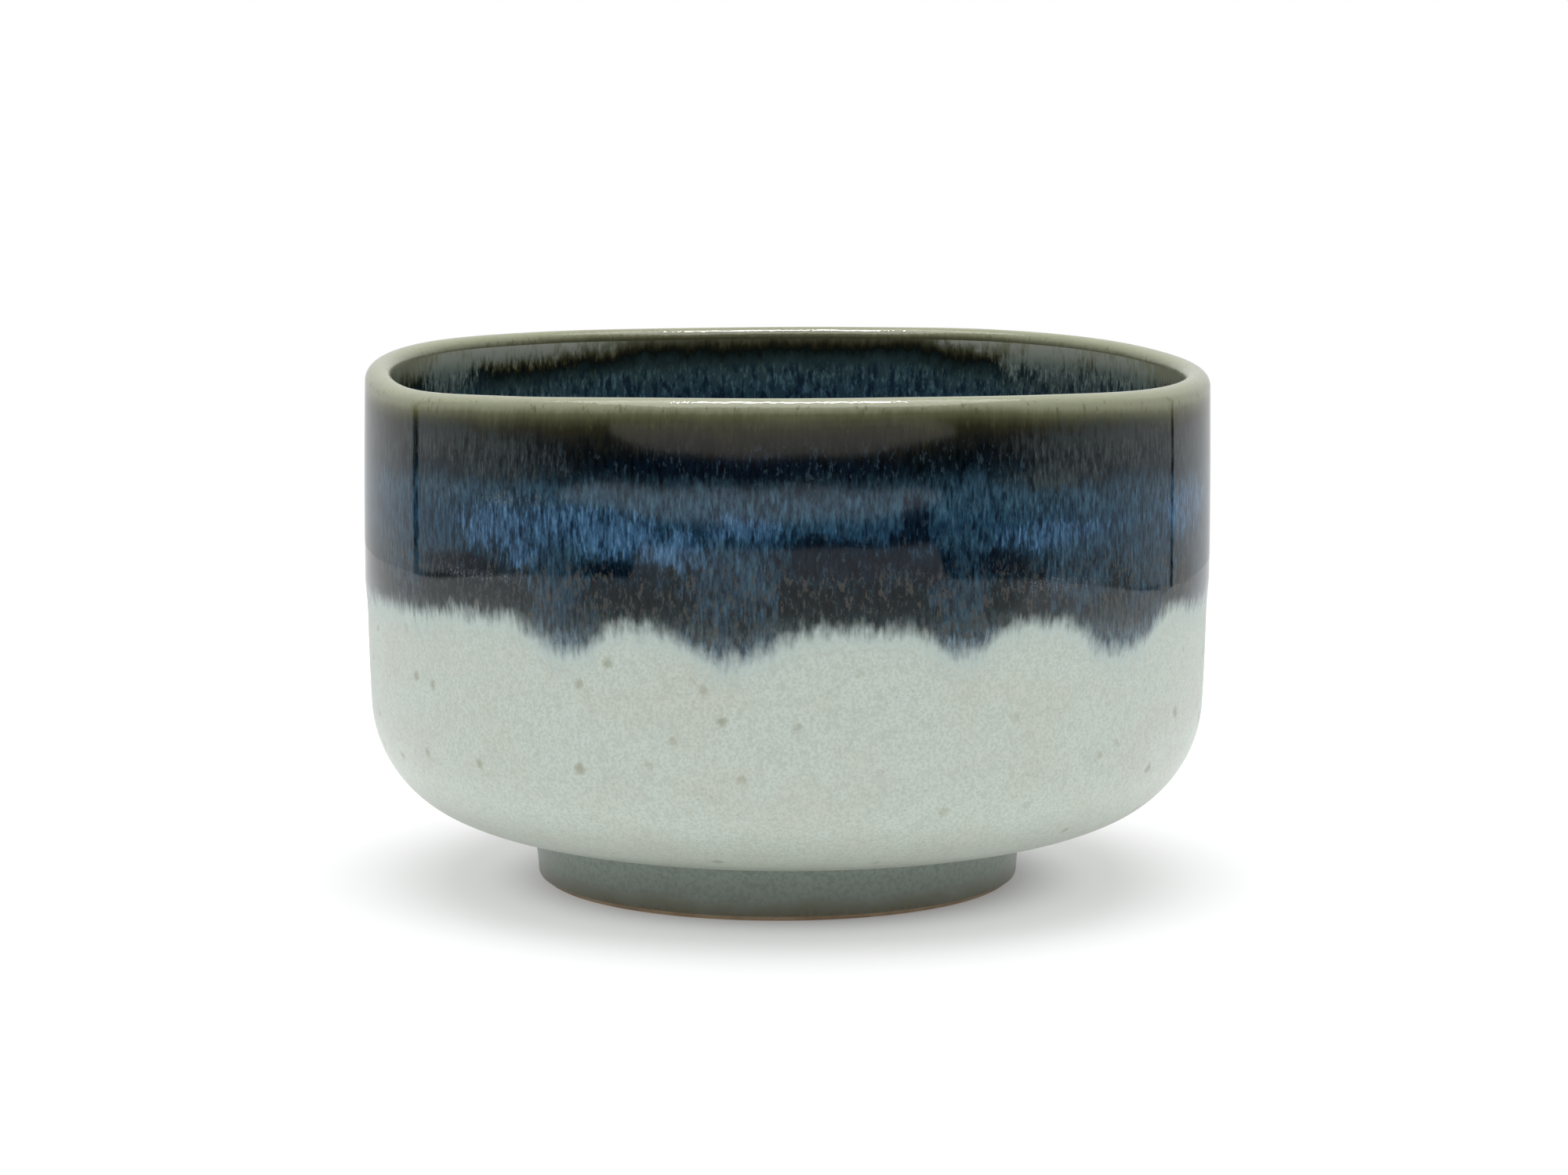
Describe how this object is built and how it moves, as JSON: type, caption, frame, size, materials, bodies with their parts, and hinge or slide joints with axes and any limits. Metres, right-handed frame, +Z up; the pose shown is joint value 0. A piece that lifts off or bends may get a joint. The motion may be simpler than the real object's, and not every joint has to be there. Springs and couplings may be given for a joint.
{
  "type": "matcha bowl",
  "caption": "Round thrown ceramic tea bowl on a low foot ring, pale glaze below and a dark streaked glaze dripping from the lip.",
  "frame": {"origin": "on the table under the middle of the bowl's bounding box", "axes": "+Z up along the bowl's axis, -Y towards the front face seen in use, +X to the right of that face"},
  "size_m": [0.12, 0.12, 0.0745],
  "materials": {
    "clay": "matte",
    "pale_glaze": "satin",
    "dark_glaze": "gloss",
    "lip_glaze": "gloss",
    "inner_glaze": "gloss",
    "foot_glaze": "satin"
  },
  "bodies": {
    "root": {"clay_bowl": "clay", "foot_ring": "clay", "pale_glaze": "pale_glaze", "dark_glaze": "dark_glaze", "lip_glaze": "lip_glaze", "inner_glaze": "inner_glaze", "foot_glaze": "foot_glaze", "foot_well_glaze": "foot_glaze"}
  },
  "joints": []
}
